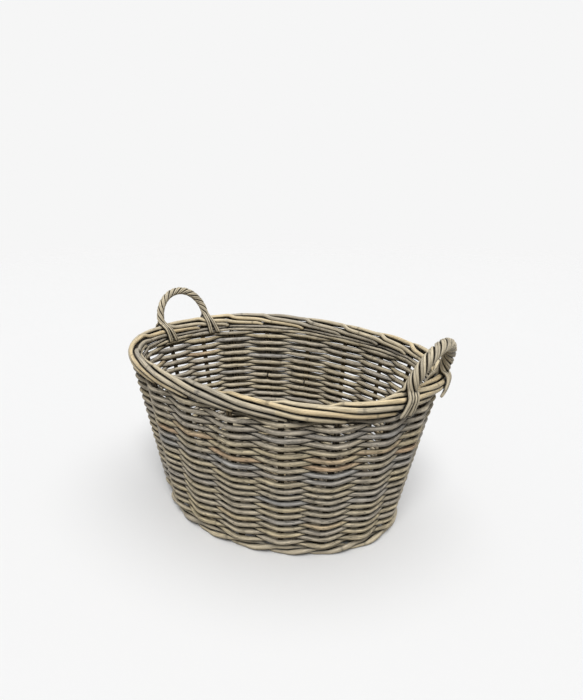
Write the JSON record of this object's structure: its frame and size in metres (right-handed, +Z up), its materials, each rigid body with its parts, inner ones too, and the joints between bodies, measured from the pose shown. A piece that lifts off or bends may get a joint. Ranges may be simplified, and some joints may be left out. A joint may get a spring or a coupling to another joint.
{
  "type": "laundry basket",
  "caption": "Oval laundry basket of whole weathered rattan rods, twined on paired stakes, with a rolled border, a twisted foot and a roped loop handle at each end.",
  "frame": {"origin": "middle of the basket's outer box, on the surface it stands on", "axes": "+X along the long side, towards the handle that leans further out; +Y across; +Z up"},
  "size_m": [0.6327, 0.4665, 0.3655],
  "materials": {
    "weathered_weaver_rattan": "dull weathered grey brown",
    "dark_stake_rattan": "dull dark brown",
    "pale_border_rattan": "smooth pale tan",
    "pale_handle_rattan": "smooth pale tan"
  },
  "bodies": {
    "root": {"long_stake_1_a": "dark_stake_rattan", "long_stake_1_b": "dark_stake_rattan", "long_stake_2_a": "dark_stake_rattan", "long_stake_2_b": "dark_stake_rattan", "long_stake_3_a": "dark_stake_rattan", "long_stake_3_b": "dark_stake_rattan", "cross_stake_1_a": "dark_stake_rattan", "cross_stake_1_b": "dark_stake_rattan", "cross_stake_2_a": "dark_stake_rattan", "cross_stake_2_b": "dark_stake_rattan", "cross_stake_3_a": "dark_stake_rattan", "cross_stake_3_b": "dark_stake_rattan", "cross_stake_4_a": "dark_stake_rattan", "cross_stake_4_b": "dark_stake_rattan", "cross_stake_5_a": "dark_stake_rattan", "cross_stake_5_b": "dark_stake_rattan", "cross_stake_6_a": "dark_stake_rattan", "cross_stake_6_b": "dark_stake_rattan", "base_weaver_a": "weathered_weaver_rattan", "base_weaver_b": "weathered_weaver_rattan", "wall_weaver_1_a": "weathered_weaver_rattan", "wall_weaver_1_b": "weathered_weaver_rattan", "wall_weaver_2_a": "weathered_weaver_rattan", "wall_weaver_2_b": "weathered_weaver_rattan", "wall_weaver_3_a": "weathered_weaver_rattan", "wall_weaver_3_b": "weathered_weaver_rattan", "wall_weaver_4_a": "weathered_weaver_rattan", "wall_weaver_4_b": "weathered_weaver_rattan", "wall_weaver_5_a": "weathered_weaver_rattan", "wall_weaver_5_b": "weathered_weaver_rattan", "border_rod_01": "pale_border_rattan", "border_rod_02": "pale_border_rattan", "border_rod_03": "pale_border_rattan", "border_rod_04": "pale_border_rattan", "border_rod_05": "pale_border_rattan", "border_rod_06": "pale_border_rattan", "border_rod_07": "pale_border_rattan", "border_rod_08": "pale_border_rattan", "border_rod_09": "pale_border_rattan", "border_rod_10": "pale_border_rattan", "border_rod_11": "pale_border_rattan", "border_rod_12": "pale_border_rattan", "border_rod_13": "pale_border_rattan", "border_rod_14": "pale_border_rattan", "border_rod_15": "pale_border_rattan", "border_rod_16": "pale_border_rattan", "border_rod_17": "pale_border_rattan", "border_rod_18": "pale_border_rattan", "border_core_a": "dark_stake_rattan", "border_core_b": "dark_stake_rattan", "foot_rod_a": "pale_border_rattan", "foot_rod_b": "pale_border_rattan", "left_handle_strand_1": "pale_handle_rattan", "left_handle_strand_2": "pale_handle_rattan", "left_handle_strand_3": "pale_handle_rattan", "left_handle_strand_4": "pale_handle_rattan", "right_handle_strand_1": "pale_handle_rattan", "right_handle_strand_2": "pale_handle_rattan", "right_handle_strand_3": "pale_handle_rattan", "right_handle_strand_4": "pale_handle_rattan"}
  },
  "joints": []
}
